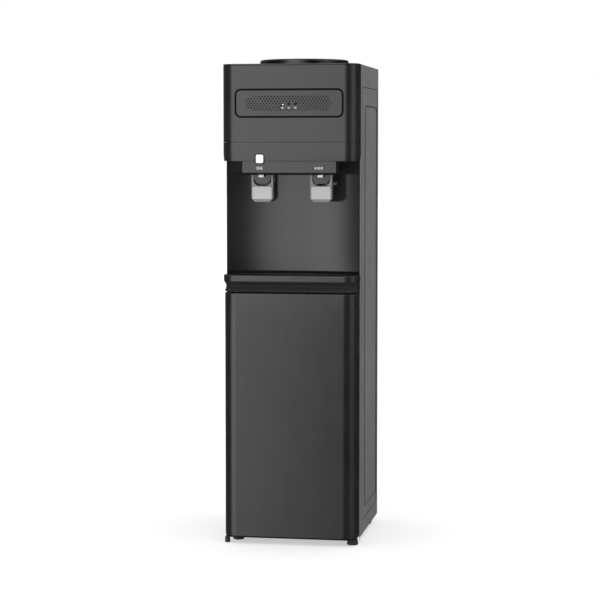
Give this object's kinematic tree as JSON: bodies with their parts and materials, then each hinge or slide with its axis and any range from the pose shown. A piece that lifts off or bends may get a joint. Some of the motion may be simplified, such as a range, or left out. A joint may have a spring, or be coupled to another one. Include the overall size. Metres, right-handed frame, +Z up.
{
  "type": "water dispenser",
  "caption": "Floor-standing top-loading hot and cold water dispenser with lever taps in a concave niche, a drip tray, a storage door and a bottle seat on top.",
  "frame": {"origin": "on the floor, under the middle of the bounding box", "axes": "+Z up, -Y towards the person who uses the taps, +X to that person's right (the cold tap's side)"},
  "size_m": [0.276, 0.325, 0.983],
  "materials": {
    "charcoal_shell": "satin charcoal moulding",
    "charcoal_steel": "charcoal powder coat on sheet steel",
    "black_gloss": "gloss black moulding",
    "black_matt": "matt black moulding",
    "black_enamel": "black stoved enamel on steel",
    "lever_silver": "silver-painted plastic",
    "white_plastic": "white moulding",
    "zinc_steel": "zinc-plated sheet",
    "stainless": "stainless steel",
    "copper": "bare copper tube",
    "foam": "expanded foam",
    "silicone": "translucent silicone",
    "rubber": "black rubber",
    "rocker_red": "red rocker",
    "rocker_green": "green rocker",
    "lens_smoke": "smoked lens"
  },
  "bodies": {
    "cabinet": {"base_pan": "charcoal_steel", "foot_front_left": "rubber", "foot_front_right": "rubber", "foot_rear_left": "rubber", "foot_rear_right": "rubber", "hinge_corner_leg": "black_matt", "side_panel_left": "charcoal_steel", "side_panel_right": "charcoal_steel", "back_panel": "charcoal_steel", "top_cover": "charcoal_shell", "head_panel": "charcoal_shell", "head_lower": "charcoal_shell", "display_trim": "black_gloss", "display_insert": "charcoal_shell", "indicator_lens_heat": "lens_smoke", "indicator_lens_power": "lens_smoke", "indicator_lens_cool": "lens_smoke", "tap_fascia": "charcoal_shell", "niche_panel": "charcoal_shell", "tray_shelf": "black_matt", "door_pin_lower": "zinc_steel", "door_pin_upper": "zinc_steel", "cabinet_liner": "charcoal_shell", "hot_tap_body": "charcoal_shell", "cold_tap_body": "charcoal_shell", "hot_nozzle": "white_plastic", "cold_nozzle": "white_plastic", "hot_pivot_pin": "stainless", "cold_pivot_pin": "stainless", "cold_tank": "stainless", "evaporator_coil": "copper", "insulation_jacket": "foam", "tank_frame": "zinc_steel", "hot_tank": "stainless", "heater_band": "zinc_steel", "cold_hose": "silicone", "hot_hose": "silicone", "feed_hose": "silicone", "drain_hose": "silicone", "compressor": "black_enamel", "compressor_cradle": "zinc_steel", "condenser_coil": "black_enamel", "condenser_frame": "black_enamel", "rear_fittings_plate": "black_matt", "drain_spout": "black_matt"},
    "door": {"door_shell": "charcoal_shell", "door_inner_panel": "charcoal_shell", "door_magnet": "black_matt"},
    "hot_lever": {"hot_lever": "lever_silver", "hot_lever_pad": "lever_silver"},
    "cold_lever": {"cold_lever": "lever_silver", "cold_lever_pad": "lever_silver"},
    "child_lock": {"child_lock_button": "white_plastic"},
    "tray": {"drip_tray": "charcoal_shell"},
    "grille": {"drip_grille": "black_gloss"},
    "bottle_seat": {"bottle_seat": "black_gloss", "bottle_probe": "white_plastic"},
    "heat_switch": {"heat_switch": "rocker_red"},
    "cool_switch": {"cool_switch": "rocker_green"},
    "drain_cap": {"drain_cap": "black_matt"}
  },
  "joints": [
    {"name": "door_hinge", "type": "hinge", "parent": "cabinet", "child": "door", "pos_m": [-0.127, -0.128, 0.262], "axis": [0, 0, -1], "range_deg": [0, 110]},
    {"name": "hot_lever_pivot", "type": "hinge", "parent": "cabinet", "child": "hot_lever", "pos_m": [-0.06, -0.122, 0.762], "axis": [1, 0, 0], "range_deg": [0, 12], "stiffness_Nm_per_rad": 0.6, "springref_deg": -8.59},
    {"name": "cold_lever_pivot", "type": "hinge", "parent": "cabinet", "child": "cold_lever", "pos_m": [0.06, -0.122, 0.762], "axis": [1, 0, 0], "range_deg": [0, 12], "stiffness_Nm_per_rad": 0.6, "springref_deg": -8.59},
    {"name": "child_lock_slide", "type": "slide", "parent": "cabinet", "child": "child_lock", "axis": [0, 1, 0], "range_m": [0, 0.003], "stiffness_N_per_m": 400, "springref_m": -0.002},
    {"name": "tray_slide", "type": "slide", "parent": "cabinet", "child": "tray", "axis": [0, -1, 0], "range_m": [0, 0.12]},
    {"name": "grille_lift", "type": "slide", "parent": "tray", "child": "grille", "axis": [0, 0, 1], "range_m": [0, 0.06]},
    {"name": "bottle_seat_lift", "type": "slide", "parent": "cabinet", "child": "bottle_seat", "axis": [0, 0, 1], "range_m": [0, 0.09]},
    {"name": "heat_switch_rock", "type": "hinge", "parent": "cabinet", "child": "heat_switch", "pos_m": [-0.092, 0.1365, 0.682], "axis": [1, 0, 0], "range_deg": [0, 16]},
    {"name": "cool_switch_rock", "type": "hinge", "parent": "cabinet", "child": "cool_switch", "pos_m": [-0.092, 0.1365, 0.649], "axis": [1, 0, 0], "range_deg": [0, 16]},
    {"name": "drain_cap_pull", "type": "slide", "parent": "cabinet", "child": "drain_cap", "axis": [0, 1, 0], "range_m": [0, 0.03]}
  ]
}
